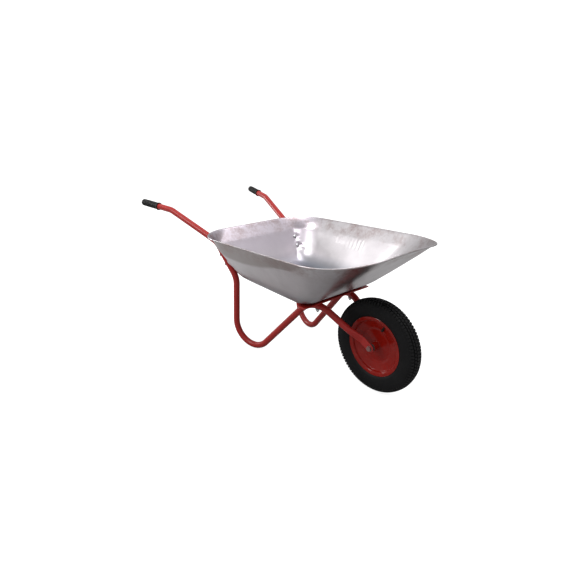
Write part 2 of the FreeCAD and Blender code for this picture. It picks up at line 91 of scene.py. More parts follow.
def piece(name, grids, body, stands_for=(), crease=38, values=None):
    """One mesh from grids of points, each (points, ring_rows, ring_columns); poles are merged.
    values maps an attribute's name to one number for each point of the grids in turn."""
    points = np.concatenate([g[0].reshape(-1, 3) for g in grids])
    faces, first = [], 0
    for g, ring_rows, ring_columns in grids:
        faces.append(quads(g.shape[0], g.shape[1], ring_rows, ring_columns) + first)
        first += g.shape[0] * g.shape[1]
    faces = np.concatenate(faces)
    mesh = bpy.data.meshes.new(name)
    mesh.vertices.add(len(points))
    mesh.vertices.foreach_set("co", points.astype(np.float32).ravel())
    mesh.loops.add(faces.size)
    mesh.loops.foreach_set("vertex_index", faces.astype(np.int32).ravel())
    mesh.polygons.add(len(faces))
    mesh.polygons.foreach_set("loop_start", np.arange(0, faces.size, 4, dtype=np.int32))
    mesh.update(calc_edges=True)
    for key, numbers in (values or {}).items():
        attribute = mesh.attributes.new(key, "FLOAT", "POINT")
        attribute.data.foreach_set("value", numbers.astype(np.float32).ravel())
    work = bmesh.new()
    work.from_mesh(mesh)
    bmesh.ops.remove_doubles(work, verts=work.verts, dist=2e-6)
    bmesh.ops.dissolve_degenerate(work, edges=work.edges, dist=1e-7)
    bmesh.ops.recalc_face_normals(work, faces=work.faces)
    work.to_mesh(mesh)
    work.free()
    mesh.polygons.foreach_set("use_smooth", np.ones(len(mesh.polygons), bool))
    mesh.set_sharp_from_angle(angle=math.radians(crease))
    made = bpy.data.objects.new(name, mesh)
    bpy.context.scene.collection.objects.link(made)
    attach(made, body)
    if stands_for:
        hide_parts(*stands_for)
    return made


def turned(profile, spin, start, way):
    """A profile of (radius, distance) turned about the line from start along way."""
    way = np.array(way, float) / np.linalg.norm(way)
    first = np.cross(way, [0, 0, 1] if abs(way[2]) < 0.9 else [1, 0, 0])
    first /= np.linalg.norm(first)
    second = np.cross(way, first)
    around = np.linspace(0, 2 * np.pi, spin, endpoint=False)
    ring = np.cos(around)[:, None] * first + np.sin(around)[:, None] * second
    r, d = profile[..., 0], profile[..., 1]
    if r.ndim == 1:
        r, d = np.repeat(r[:, None], spin, 1), np.repeat(d[:, None], spin, 1)
    return np.array(start) + r[..., None] * ring + d[..., None] * way


def smooth_profile(points, radii, per_bend=7):
    """A line of (radius, distance) points whose inner corners are rounded to the given reach."""
    rows = [points[0][None]]
    for k, reach in enumerate(radii):
        a, b, c = points[k:k + 3]
        before = b + (a - b) / np.linalg.norm(a - b) * reach
        after = b + (c - b) / np.linalg.norm(c - b) * reach
        t = np.linspace(0, 1, per_bend)[:, None]
        rows.append((1 - t) ** 2 * before + 2 * t * (1 - t) * b + t ** 2 * after)
    rows.append(points[-1][None])
    return np.concatenate(rows)


def thick_profile(line, thickness):
    """The line and its twin one thickness to the left of it, as one closed outline."""
    ahead = np.gradient(line, axis=0)
    ahead /= np.maximum(np.linalg.norm(ahead, axis=1, keepdims=True), 1e-9)
    twin = line + np.stack([-ahead[:, 1], ahead[:, 0]], 1) * thickness
    return np.concatenate([line, twin[::-1]])


def eased(t):
    """0 to 1 with a soft start and end."""
    return t * t * (3 - 2 * t)


# ---------------------------------------------------------------------------
# Making materials.


def group(name, inputs, outputs):
    """A shader node group with named sockets; returns the group and its in and out nodes."""
    tree = bpy.data.node_groups.new(name, "ShaderNodeTree")
    for label, kind, value in inputs:
        made = tree.interface.new_socket(label, in_out="INPUT", socket_type=kind)
        if value is not None:
            made.default_value = value
    for label, kind in outputs:
        tree.interface.new_socket(label, in_out="OUTPUT", socket_type=kind)
    return tree, tree.nodes.new("NodeGroupInput"), tree.nodes.new("NodeGroupOutput")


def feed(tree, target, value):
    """Gives an input socket a value, or a link when the value is another node's output."""
    if isinstance(value, bpy.types.NodeSocket):
        tree.links.new(value, target)
    else:
        target.default_value = value


def node(tree, kind, settings=None, **sockets):
    """A node with its settings, and its inputs by name or as i0, i1 and so on."""
    made = tree.nodes.new(kind)
    for key, value in (settings or {}).items():
        setattr(made, key, value)
    for key, value in sockets.items():
        numbered = key[0] == "i" and key[1:].isdigit()
        feed(tree, made.inputs[int(key[1:]) if numbered else key.replace("_", " ")], value)
    return made


def maths(tree, operation, first, second=0.0, clamp=False):
    settings = {"operation": operation, "use_clamp": clamp}
    return node(tree, "ShaderNodeMath", settings, i0=first, i1=second).outputs[0]


def scaled(tree, value, factor):
    return maths(tree, "MULTIPLY", value, factor)


def above(tree, value, limit, gain):
    """0 up to the limit, then rising to 1."""
    return maths(tree, "MULTIPLY", maths(tree, "SUBTRACT", value, limit), gain, True)


def below(tree, value, limit, gain):
    """0 from the limit up, rising to 1 below it."""
    return maths(tree, "MULTIPLY", maths(tree, "SUBTRACT", limit, value), gain, True)


def blend_colours(tree, share, first, second):
    """From the first colour to the second; a colour is an output or (red, green, blue)."""
    made = node(tree, "ShaderNodeMix", {"data_type": "RGBA"}, i0=share)
    for index, value in ((6, first), (7, second)):
        feed(tree, made.inputs[index], (*value, 1) if isinstance(value, tuple) else value)
    return made.outputs[2]


def laid_over(tree, tone, mask, strength, colour):
    """The tone with a colour over it where the mask is 1."""
    return blend_colours(tree, scaled(tree, mask, strength), tone, colour)


def noise(tree, place, scale, detail):
    return node(tree, "ShaderNodeTexNoise", Vector=place, Scale=scale, Detail=detail).outputs["Fac"]


def material(name):
    """A material, its tree, its shader and the place on the object."""
    made = bpy.data.materials.new(name)
    made.use_nodes = True
    tree = made.node_tree
    place = node(tree, "ShaderNodeTexCoord").outputs["Object"]
    return made, tree, tree.nodes["Principled BSDF"], place


# Cloudy: soft patches of two sizes, used for every finish's colour and gloss.
cloudy, c_in, c_out = group("cloudy", [("Place", "NodeSocketVector", None),
                                       ("Scale", "NodeSocketFloat", 8.0),
                                       ("Contrast", "NodeSocketFloat", 1.0)],
                            [("Value", "NodeSocketFloat")])
big_scale = c_in.outputs["Scale"]
big = noise(cloudy, c_in.outputs["Place"], big_scale, 3.0)
small = noise(cloudy, c_in.outputs["Place"], scaled(cloudy, big_scale, 6.0), 5.0)
both = maths(cloudy, "ADD", scaled(cloudy, big, 0.65), scaled(cloudy, small, 0.35))
centred = scaled(cloudy, maths(cloudy, "SUBTRACT", both, 0.5), c_in.outputs["Contrast"])
feed(cloudy, c_out.inputs["Value"], maths(cloudy, "ADD", centred, 0.5, True))

# Edges: a mask that is 1 on corners and 0 on flat ground, broken up so that wear is uneven.
edges, e_in, e_out = group("edges", [("Place", "NodeSocketVector", None),
                                     ("Width", "NodeSocketFloat", 0.002),
                                     ("Broken", "NodeSocketFloat", 60.0)],
                           [("Mask", "NodeSocketFloat")])
bevelled = node(edges, "ShaderNodeBevel", {"samples": 4}, Radius=e_in.outputs["Width"]).outputs[0]
plain = node(edges, "ShaderNodeNewGeometry").outputs["Normal"]
agree = node(edges, "ShaderNodeVectorMath", {"operation": "DOT_PRODUCT"}, i0=bevelled, i1=plain)
on_edge = below(edges, agree.outputs["Value"], 1.0, 9.0)
grit = noise(edges, e_in.outputs["Place"], e_in.outputs["Broken"], 4.0)
feed(edges, e_out.inputs["Mask"], maths(edges, "MULTIPLY", on_edge, above(edges, grit, 0.42, 6.0)))


def clouds(tree, place, scale, contrast=1.0):
    settings = {"node_tree": cloudy}
    made = node(tree, "ShaderNodeGroup", settings, Place=place, Scale=scale, Contrast=contrast)
    return made.outputs["Value"]


def worn_edges(tree, place, width, broken):
    settings = {"node_tree": edges}
    made = node(tree, "ShaderNodeGroup", settings, Place=place, Width=width, Broken=broken)
    return made.outputs["Mask"]


def uneven(tree, place, scale, contrast, spread, base):
    """Cloudy numbers from base to base plus spread, for roughness."""
    return maths(tree, "ADD", scaled(tree, clouds(tree, place, scale, contrast), spread), base)


def connect(tree, shader, tone, gloss, height=None, strength=0.0, distance=0.0, **sockets):
    """Feeds colour, roughness and relief to the shader, and its other sockets by name."""
    feed(tree, shader.inputs["Base Color"], tone)
    feed(tree, shader.inputs["Roughness"], gloss)
    if height is not None:
        relief = node(tree, "ShaderNodeBump", Strength=strength, Distance=distance, Height=height)
        feed(tree, shader.inputs["Normal"], relief.outputs[0])
    for key, value in sockets.items():
        feed(tree, shader.inputs[key.replace("_", " ")], value)


def coat(name, patches, dark, light, gloss, wear=None, spots=None, grain=None, **sockets):
    """A finish in two cloudy tones with uneven gloss.
    patches: scale, contrast. gloss: scale, contrast, spread, base.
    wear: width, broken, strength, colour. grain: scale, detail, strength, distance.
    spots: scale, contrast, limit, gain, strength, colour."""
    made, tree, shader, place = material(name)
    tone = blend_colours(tree, clouds(tree, place, *patches), dark, light)
    if wear:
        width, broken, strength, colour = wear
        tone = laid_over(tree, tone, worn_edges(tree, place, width, broken), strength, colour)
    if spots:
        scale, contrast, limit, gain, strength, colour = spots
        mask = above(tree, clouds(tree, place, scale, contrast), limit, gain)
        tone = laid_over(tree, tone, mask, strength, colour)
    rough = uneven(tree, place, *gloss)
    if grain:
        scale, detail, strength, distance = grain
        connect(tree, shader, tone, rough, noise(tree, place, scale, detail), strength, distance,
                **sockets)
    else:
        connect(tree, shader, tone, rough, **sockets)
    return made


def finish_cad(finish, *names):
    """Gives the finish to carried-over pieces; their shape is left alone."""
    for name in names:
        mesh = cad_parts[name].data
        mesh.materials.clear()
        mesh.materials.append(finish)


# ---------------------------------------------------------------------------
# Tray: one sheet of zinc-coated steel, 1.2 mm thick, pressed in a single draw.
# The floor runs into the walls on a soft bend, a crease goes round below the rim,
# and the cut edge is turned over outwards.


def tray_line(rear_x, front_x, half_width, rear_corner, front_corner, rear_z, front_z,
              rise=0, bow=0, stretch=0):
    """A line round the tray. rise and bow lift the middle of its front edge and push it
    forward; stretch is how many times longer than wide its rear corners are."""
    return np.array([rear_x, front_x, half_width, rear_corner, front_corner, rear_z, front_z,
                     rise, bow, stretch], float)


crease_rear_z = 0.442
middle_line = tray_line(0.1, 0.1, half_width=0, rear_corner=0, front_corner=0,
                        rear_z=floor_z, front_z=floor_z, stretch=2.4)
floor_line = tray_line(wall_rear(floor_z) - 0.005, axle_x - 0.205, half_width=0.187,
                       rear_corner=0.028, front_corner=0.045,
                       rear_z=floor_z, front_z=floor_z, stretch=2.4)
crease_line = tray_line(wall_rear(crease_rear_z), axle_x + 0.034, half_width=0.272,
                        rear_corner=0.066, front_corner=0.172,
                        rear_z=crease_rear_z, front_z=0.490, rise=0.024, bow=0.008, stretch=1.85)
rim_line = tray_line(axle_x - 0.759, axle_x + 0.091, half_width=0.301,
                     rear_corner=0.156, front_corner=0.211,
                     rear_z=0.490, front_z=0.538, rise=0.028, bow=0.010, stretch=1.0)
inward = tray_line(1, -1, half_width=-1, rear_corner=-1, front_corner=-1, rear_z=0, front_z=0)
upward = tray_line(0, 0, half_width=0, rear_corner=0, front_corner=0, rear_z=1, front_z=1)


def along(start, end, count):
    """Lines that go evenly from one line round the tray to the next."""
    t = np.linspace(0, 1, count)[:, None]
    return start + (end - start) * t


def bend(start, corner, end, count):
    """Lines on a parabola that leaves start towards corner and arrives at end."""
    t = np.linspace(0, 1, count)[:, None]
    return (1 - t) ** 2 * start + 2 * t * (1 - t) * corner + t ** 2 * end


floor_edge = floor_line + inward * 0.042
floor_edge[3:5] = 0.012, 0.030
wall_foot = floor_line + (crease_line - floor_line) * 0.28
under_crease = crease_line + (floor_line - crease_line) * 0.035
over_crease = crease_line + (rim_line - crease_line) * 0.12
under_rim = rim_line + (crease_line - rim_line) * 0.08
hem_start = rim_line - inward * 0.0035 + upward * 0.0006
hem_top = rim_line - inward * 0.0056 + upward * 0.0004
hem_end = rim_line - inward * 0.0058 - upward * 0.0036
lines = np.concatenate([
    along(middle_line, floor_edge, 12),
    bend(floor_edge, floor_line, wall_foot, 14)[1:],
    along(wall_foot, under_crease, 22)[1:],
    bend(under_crease, crease_line, over_crease, 8)[1:],
    along(over_crease, under_rim, 8)[1:],
    bend(under_rim, rim_line, hem_start, 5)[1:],
    bend(hem_start, hem_top, hem_end, 6)[1:],
])

# Round the tray: a quarter turn at each corner and an even run along each side.
quarter = np.linspace(0, 1, 30)
side_run = np.linspace(0, 1, 150)[1:-1]
end_run = np.linspace(0, 1, 34)[1:-1]
turn, corner_from, share = [], [], []
for corner, run in enumerate((side_run, end_run, side_run, end_run)):
    reached = np.pi / 2 * (1 - corner)
    turn += [reached + np.pi / 2 - quarter * np.pi / 2, np.full(run.size, reached)]
    corner_from.append(np.full(quarter.size + run.size, corner))
    share += [0 * quarter, run]
turn, corner_from, share = (np.concatenate(rows) for rows in (turn, corner_from, share))
rear, front, half, rear_r, front_r, rear_z, front_z, rise, bow, stretch = lines.T[:, :, None]
rear_centre, front_centre = rear + rear_r * stretch, front - front_r
centre_x = np.concatenate([rear_centre, front_centre, front_centre, rear_centre], 1)
centre_y = np.concatenate([half - rear_r, half - front_r, front_r - half, rear_r - half], 1)
radius_x = np.concatenate([rear_r * stretch, front_r, front_r, rear_r * stretch], 1)
radius_y = np.concatenate([rear_r, front_r, front_r, rear_r], 1)


def round_corner(corner):
    """x and y on the given corners' curves."""
    return (centre_x[:, corner] + radius_x[:, corner] * np.cos(turn),
            centre_y[:, corner] + radius_y[:, corner] * np.sin(turn))


from_x, from_y = round_corner(corner_from)
to_x, to_y = round_corner((corner_from + 1) % 4)
tray_x = from_x + (to_x - from_x) * share
tray_y = from_y + (to_y - from_y) * share
# The front edge rises and bows in its middle.
rise_from = 0.62
forward = np.clip((tray_x - rear) / np.maximum(front - rear, 1e-6), 0, 1)
front_part = np.clip((forward - rise_from) / (1 - rise_from), 0, 1) ** 2
across = np.clip(np.abs(tray_y) / np.maximum(half, 1e-6), 0, 1)
in_front = front_part * (1 - across ** 2)
tray_z = rear_z + (front_z - rear_z) * forward + rise * in_front
tray_x = tray_x + bow * in_front
# The side walls draw in a little towards the rear, less so at the rim.
draw_in = 0.022 * (1 - forward) ** 2 * np.clip((0.50 - tray_z) / 0.06, 0, 1)
tray_y = tray_y * (1 - draw_in)
# A pressed sheet is never quite flat: a long soft wave, strongest half way up the walls
# and gone near the rear wall, which lies against the rails.
wave_height = 0.0007
wall_share = np.clip((tray_z - floor_z) / 0.16, 0, 1)
ripple = np.sin(tray_x * 31 + 1.2) + np.sin(tray_y * 23 + tray_z * 37)
wave = wave_height * np.sin(np.pi * wall_share) * ripple
wave = wave * np.clip((tray_x - rear - 0.03) / 0.08, 0, 1)
tray_x = tray_x + wave * np.cos(turn)
tray_y = tray_y + wave * np.sin(turn)
# Each rear bolt pulls the sheet flat against its tube.
flat_reach, flat_fade = 0.021, 0.0105
for height in rear_bolt_heights:
    bolt_y = rail_y(rail_back(height))
    away = np.hypot(np.abs(tray_y) - bolt_y, (tray_z - height - 0.009) * 1.25)
    pull = eased(np.clip((flat_reach - away) / flat_fade, 0, 1))
    proud = tray_x - wall_rear(tray_z)
    tray_x = tray_x - np.where(proud < 0.04, pull * proud, 0)
# Plain upright flutes pressed into the left wall stiffen it.
flute_depth = 0.0006
flute_x = (tray_x - 0.120) / 0.088
flute_z = (tray_z - 0.440) / 0.024
flute_mask = np.clip(1.25 - np.abs(flute_x) ** 6, 0, 1) * np.clip(1.2 - np.abs(flute_z) ** 4, 0, 1)
flutes = flute_depth * flute_mask * (0.5 - 0.5 * np.cos(flute_x * np.pi * 9))
tray_y = tray_y - flutes * (np.sin(turn) > 0.99)
# Where a point is between the middle of the floor, 0, and the end of the hem, 1.
level = np.broadcast_to(np.linspace(0, 1, len(lines))[:, None], tray_x.shape)
tray_points = np.stack([tray_x, tray_y, tray_z], -1)
tray = piece("pressed_tray", [(tray_points, False, True)], "frame", ("tray",),
             crease=60, values={"level": level})
solid = tray.modifiers.new("sheet", "SOLIDIFY")
solid.thickness = sheet
solid.offset = -1

# Zinc: cloudy with crystal flakes, stained near the rim inside, and faintly grained by the rollers.
# Painted light in the colour: painted shade darkens the floor, a painted lavender reflection lies
# towards the rear, and a painted dark reflection lies outside under the rim.
zinc_sheet, tree, shader, place = material("zinc_sheet")
level_in = node(tree, "ShaderNodeAttribute", {"attribute_name": "level"}).outputs["Fac"]
forward_in = node(tree, "ShaderNodeSeparateXYZ", Vector=place).outputs["X"]
facing = node(tree, "ShaderNodeNewGeometry").outputs["Normal"]
facing_up = node(tree, "ShaderNodeSeparateXYZ", Vector=facing).outputs["Z"]
tone = blend_colours(tree, clouds(tree, place, 5.0, 1.6), (0.43, 0.405, 0.42), (0.61, 0.585, 0.60))
flakes = node(tree, "ShaderNodeTexVoronoi", Vector=place, Scale=140.0)
flake = node(tree, "ShaderNodeSeparateColor", Color=flakes.outputs["Color"]).outputs[0]
tone = laid_over(tree, tone, flake, 0.12, (0.45, 0.44, 0.46))
# Painted shade: the floor is darkened and tinted blue-grey in the colour.
painted_floor_shade = below(tree, level_in, 0.40, 6.0)
tone = laid_over(tree, tone, painted_floor_shade, 0.85, (0.16, 0.178, 0.21))
# Painted reflection: the walls towards the rear are tinted lavender in the colour.
painted_rear_reflection = below(tree, forward_in, -0.06, 9.0)
tone = laid_over(tree, tone, painted_rear_reflection, 0.5, (0.50, 0.43, 0.52))
# Painted reflection: a dark taupe band outside under the rim, where the sheet faces down, widest
# part-way along each side.
downward = maths(tree, "MULTIPLY", facing_up, -5.0, True)
forward_square = maths(tree, "MULTIPLY", forward_in, forward_in)
dark_reflection_from = maths(tree, "ADD", scaled(tree, forward_square, 1.7), 0.555)
painted_dark_reflection = maths(tree, "MULTIPLY", above(tree, level_in, dark_reflection_from, 28.0), downward)
tone = laid_over(tree, tone, painted_dark_reflection, 0.7, (0.25, 0.215, 0.205))
near_rim = above(tree, level_in, 0.60, 5.0)
stain = above(tree, clouds(tree, place, 17.0, 2.2), 0.36, 2.0)
stained = maths(tree, "MULTIPLY", near_rim, stain)
tone = laid_over(tree, tone, stained, 0.72, (0.25, 0.175, 0.165))
rolled = node(tree, "ShaderNodeMapping", Vector=place, Scale=(14.0, 420.0, 420.0)).outputs[0]
grain = noise(tree, rolled, 1.0, 3.0)
gloss = maths(tree, "ADD", uneven(tree, place, 9.0, 1.4, 0.16, 0.22), scaled(tree, grain, 0.06))
height = maths(tree, "ADD", scaled(tree, grain, 0.5), scaled(tree, flake, 0.25))
connect(tree, shader, tone, gloss, height, 0.10, 0.0004, Metallic=1.0)
tray.data.materials.append(zinc_sheet)

# ---------------------------------------------------------------------------
# Cross strap: a flat red bar, 40 x 4.5 mm, bolted across under the tray's floor so that
# the sheet doesn't bear on the two tubes alone. Same powder coat as the rails.

strap_thickness = 0.0045
powder_coat = coat("red_powder_coat", patches=(7.0, 1.5), gloss=(18.0, 1.3, 0.2, 0.25),
                   dark=(0.25, 0.0110, 0.0095), light=(0.34, 0.018, 0.015),
                   wear=(0.0022, 150.0, 0.55, (0.62, 0.12, 0.10)),
                   spots=(55.0, 3.0, 0.86, 5.0, 0.3, (0.12, 0.03, 0.025)),
                   grain=(620.0, 2.0, 0.16, 0.0004),
                   Specular_IOR_Level=0.24, Coat_Weight=0.06, Coat_Roughness=0.25)
finish_cad(powder_coat, "cross_strap")

# ---------------------------------------------------------------------------
# Rails: two steel tubes, 27 mm across, each bent in its own upright plane into a handle,
# a leg loop and a saddle, with the front end squeezed flat round the axle hole.

slant = math.atan(splay)
plate_half_height = 0.0160
plate_half_thickness = 0.002
plate_length = 0.042
taper_length = 0.060
saddle_back = 0.223
saddle_radius = 0.099
foot_radius = 0.094
saddle_height = 0.3022 - tube_r
shoulder_back, shoulder_height = 0.73297, 0.446
start_in_grip = 0.0063


def in_plane(back, height):
    """A point of the rail's own plane, from its distance behind the axle and its height."""
    return np.array([-back / math.cos(slant), height])


def in_space(points, side):
    """Points of the rail's own plane, turned outwards by the splay and put beside the wheel."""
    points = np.atleast_2d(points)
    back = -points[:, 0] * math.cos(slant)
    return np.stack([axle_x - back, side * rail_y(back), points[:, 1]], 1)


def heading(vector):
    return math.atan2(vector[1], vector[0])


def towards(angle):
    return np.array([math.cos(angle), math.sin(angle)])


def crossing(point_a, way_a, point_b, way_b):
    """Where two lines of the plane cross."""
    cross = way_a[0] * way_b[1] - way_a[1] * way_b[0]
    apart = point_b - point_a
    return point_a + way_a * (apart[0] * way_b[1] - apart[1] * way_b[0]) / cross


grip_end = in_plane(1.201, 0.557)
handle_bend = in_plane(1.00596, 0.545)
knee = in_plane(knee_back, knee_height)
foot_line = in_plane(0.63401, tube_r + foot_radius)
leg_way = (foot_line - knee) / np.linalg.norm(foot_line - knee)
foot_centre = foot_line + [foot_radius / math.cos(math.asin(abs(leg_way[0]))), 0]
saddle_centre = in_plane(saddle_back, saddle_height - saddle_radius)
axle_point = in_plane(0, axle_z)
# The arm touches the foot's arc below and the saddle's above; the fork touches the saddle's.
gap = saddle_centre - foot_centre
arm_way = towards(heading(gap) + math.asin((foot_radius + saddle_radius) / np.linalg.norm(gap)))
arm_point = foot_centre + np.array([arm_way[1], -arm_way[0]]) * foot_radius
drop = axle_point - saddle_centre
fork = heading(drop) + math.acos(saddle_radius / np.linalg.norm(drop)) - math.pi / 2
fork_way = towards(fork)
tube_end = axle_point - fork_way * (taper_length + plate_length)
handle_way = (handle_bend - grip_end) / np.linalg.norm(handle_bend - grip_end)
tube_start = grip_end + handle_way * start_in_grip
corners = [tube_start, handle_bend, in_plane(shoulder_back, shoulder_height), knee,
           crossing(knee, leg_way, arm_point, arm_way),
           crossing(arm_point, arm_way, axle_point, fork_way), tube_end]
bend_radii = (0.090, 0.075, 0.080, foot_radius, saddle_radius)


def bent_line(corners, radii, steps_per_bend=26):
    """Points and headings along straight runs joined by arcs of the given radii."""
    points, angles = [corners[0][None]], [np.array([heading(corners[1] - corners[0])])]
    for k, bend_radius in enumerate(radii):
        a, b, c = corners[k:k + 3]
        start, end = heading(b - a), heading(c - b)
        change = (end - start + math.pi) % (2 * math.pi) - math.pi
        into = b - towards(start) * bend_radius * math.tan(abs(change) / 2)
        hand = math.copysign(1, change)
        centre = into + bend_radius * hand * np.array([-math.sin(start), math.cos(start)])
        turning = start + change * np.linspace(0, 1, steps_per_bend)
        run = points[-1][-1] + (into - points[-1][-1]) * np.linspace(0, 1, 7)[1:-1, None]
        arc = centre + bend_radius * hand * np.stack([np.sin(turning), -np.cos(turning)], 1)
        points += [run, arc]
        angles += [np.full(len(run), start), turning]
    last = points[-1][-1] + (corners[-1] - points[-1][-1]) * np.linspace(0, 1, 7)[1:, None]
    points.append(last)
    angles.append(np.full(len(last), heading(corners[-1] - corners[-2])))
    return np.concatenate(points), np.concatenate(angles)


line, headings = bent_line(corners, bend_radii)
phi = np.linspace(0, 2 * np.pi, 48, endpoint=False)
taper_t = np.linspace(0, 1, 22)[1:]
flat_t = np.linspace(0, 1, 7)[1:]
round_turn = np.linspace(0, np.pi / 2, 16)[1:]
plate_rows = flat_t.size + round_turn.size
squeezed = eased(taper_t)
# Half height and half width along the tube, the taper, the plate and its round end.
high = np.concatenate([np.full(len(line), tube_r),
                       tube_r + (plate_half_height - tube_r) * squeezed,
                       np.full(flat_t.size, plate_half_height),
                       plate_half_height * np.cos(round_turn)])
wide = np.concatenate([np.full(len(line), tube_r),
                       tube_r + (plate_half_thickness - tube_r) * squeezed,
                       np.full(plate_rows, plate_half_thickness)])
high = np.maximum(high, wide * 0.2)
wide = np.minimum(wide, high)
flatness = np.concatenate([np.zeros(len(line)), squeezed, np.ones(plate_rows)])[:, None]
plate_way = np.array([math.cos(fork), 0, math.sin(fork)])
for name, side in (("right", -1), ("left", 1)):
    hub_point = np.array([axle_x, side * offset_at_axle, axle_z])
    plate_start = hub_point - plate_way * plate_length
    centres = in_space(line, side)
    ways = np.stack([np.cos(headings) * math.cos(slant),
                     -side * np.cos(headings) * math.sin(slant), np.sin(headings)], 1)
    taper = centres[-1] + (plate_start - centres[-1]) * taper_t[:, None]
    taper_ways = ways[-1] + (plate_way - ways[-1]) * squeezed[:, None]
    taper_ways /= np.linalg.norm(taper_ways, axis=1, keepdims=True)
    flat_run = plate_start + plate_way * plate_length * flat_t[:, None]
    round_end = hub_point + plate_way * plate_half_height * np.sin(round_turn)[:, None]
    centres = np.concatenate([centres, taper, flat_run, round_end])
    ways = np.concatenate([ways, taper_ways, np.tile(plate_way, (plate_rows, 1))])
    plane_out = np.array([math.sin(slant), side * math.cos(slant), 0])
    outs = plane_out + (np.array([0, side, 0]) - plane_out) * flatness
    outs /= np.linalg.norm(outs, axis=1, keepdims=True)
    ups = np.cross(ways, outs)
    lift = (high - wide)[:, None] * np.clip(np.cos(phi) * 3.5, -1, 1) + wide[:, None] * np.cos(phi)
    reach = wide[:, None] * np.sin(phi)
    skin = centres[:, None] + ups[:, None] * lift[..., None] + outs[:, None] * reach[..., None]
    ends = [np.broadcast_to(centres[k], (1, phi.size, 3)) for k in (0, -1)]
    rail_points = np.concatenate([ends[0], skin, ends[1]])
    rail = piece("rail_" + name, [(rail_points, False, True)], "frame",
                 ("frame_rail_" + name,), crease=50)
    rail.data.materials.append(powder_coat)

# ---------------------------------------------------------------------------
# Grips: black rubber sleeves, moulded with rings and pushed over the handles' ends.
# The outer end is rounded, the inner end has a raised collar.

grip_length = 0.116
grip_r = 0.0155
collar_r = 0.018
nose_r = 0.011
ring_pitch = 0.0062
ring_depth = 0.0011
grip_bore = tube_r + 0.0003
bore_end = grip_length - 0.02

nose_turn = np.linspace(0, np.pi / 2, 9)
nose = np.stack([grip_r - nose_r + nose_r * np.sin(nose_turn),
                 nose_r - nose_r * np.cos(nose_turn)], 1)
body_run = np.linspace(nose_r, grip_length - 0.006, 190)[1:]
rings = 0.5 - 0.5 * np.cos((body_run - 0.014) / ring_pitch * 2 * np.pi)
ringed = (np.clip((body_run - 0.016) / 0.002, 0, 1)
          * np.clip((grip_length - 0.010 - body_run) / 0.002, 0, 1))
swell = 0.0005 * np.sin(np.clip((body_run - 0.01) / 0.1, 0, 1) * np.pi)
body_r = grip_r - ring_depth * ringed * rings ** 0.6 + swell
collar = np.array([[grip_r, grip_length - 0.0055], [collar_r - 0.0008, grip_length - 0.0048],
                   [collar_r, grip_length - 0.004], [collar_r, grip_length - 0.001],
                   [collar_r - 0.001, grip_length], [grip_bore, grip_length],
                   [grip_bore, bore_end], [0, bore_end]])
grip_profile = np.concatenate([[[0, 0]], nose, np.stack([body_r, body_run], 1), collar])

rubber = coat("black_moulded_rubber", patches=(30.0, 1.6), gloss=(40.0, 1.5, 0.25, 0.5),
              dark=(0.0035, 0.0034, 0.0033), light=(0.010, 0.0095, 0.009),
              wear=(0.0012, 260.0, 0.35, (0.035, 0.033, 0.031)),
              grain=(900.0, 3.0, 0.3, 0.0003), Specular_IOR_Level=0.2)
for name, side in (("right", -1), ("left", 1)):
    start, bend_at = in_space(np.stack([grip_end, handle_bend]), side)
    grip_points = turned(grip_profile, 56, start, bend_at - start)
    grip = piece("ringed_grip_" + name, [(grip_points, False, True)], "frame",
                 ("grip_" + name,), crease=50)
    grip.data.materials.append(rubber)

# ---------------------------------------------------------------------------
# Tray bolts: M8 cup-head bolts, bright zinc, with rolled threads. Four go through the rear
# wall and the rails, two through the floor, the strap and the saddles, each with washer and nut.

bolt_r = 0.004
bolt_sides = 32
bolt_past_nut = 0.005
thread_pitch = 0.00125
thread_depth = 0.0006
thread_length = 0.016
head_r = 0.009
head_rise = 0.0045
nut_high = 0.0065
washer_high = 0.0016
tube_clearance = 0.0003
saddle_top_r = 0.0855


def cup_bolt(seat, way, length):
    """Dome, shank and a rolled thread: its radius dips once a pitch and the dip climbs as it turns."""
    dome_turn = np.linspace(0, 1, 12) * np.pi / 2
    dome = np.stack([head_r * np.sin(dome_turn), -head_rise * np.cos(dome_turn)], 1)
    seat_rows = np.array([[head_r, 0.0002], [bolt_r + 0.0003, 0.0002], [bolt_r, 0.0005]])
    run = np.linspace(0.001, length - 0.0008, int(length / thread_pitch * 8))
    around = np.linspace(0, 1, bolt_sides, endpoint=False)
    tooth = np.abs(((run[:, None] / thread_pitch - around) % 1) * 2 - 1)
    fade = (np.clip((run - (length - thread_length)) / 0.002, 0, 1)
            * np.clip((length - 0.0008 - run) / 0.0012, 0.3, 1))
    shank_r = bolt_r - thread_depth * tooth * fade[:, None]
    plain = np.concatenate([dome, seat_rows])
    r = np.concatenate([np.repeat(plain[:, :1], bolt_sides, 1), shank_r,
                        np.full((1, bolt_sides), bolt_r - 0.0009), np.zeros((1, bolt_sides))])
    d = np.concatenate([np.repeat(plain[:, 1:], bolt_sides, 1),
                        np.repeat(run[:, None], bolt_sides, 1), np.full((2, bolt_sides), length)])
    return turned(np.stack([r, d], -1), bolt_sides, seat, way)


zinc = coat("bright_zinc", patches=(60.0, 1.8), gloss=(90.0, 1.6, 0.2, 0.2),
            dark=(0.36, 0.36, 0.38), light=(0.62, 0.62, 0.63),
            wear=(0.0008, 300.0, 0.6, (0.78, 0.78, 0.78)),
            grain=(1400.0, 2.0, 0.15, 0.0002), Metallic=1.0)

through_tube = 2 * (tube_r + tube_clearance)
under_head = washer_high + nut_high + bolt_past_nut
wall_out = np.array([-1, 0, -wall_lean]) / math.hypot(1, wall_lean)
bolts = []
for height in rear_bolt_heights:
    back = rail_back(height)
    for side in (-1, 1):
        on_rail = np.array([axle_x - back, side * rail_y(back), height])
        seat = on_rail - wall_out * (tube_r + tube_clearance + sheet)
        bolts.append((cup_bolt(seat, wall_out, sheet + through_tube + under_head), False, True))
rear_bolts = piece("rear_cup_bolts", bolts, "frame", ("rear_bolts",), crease=40)
rear_bolts.data.materials.append(zinc)

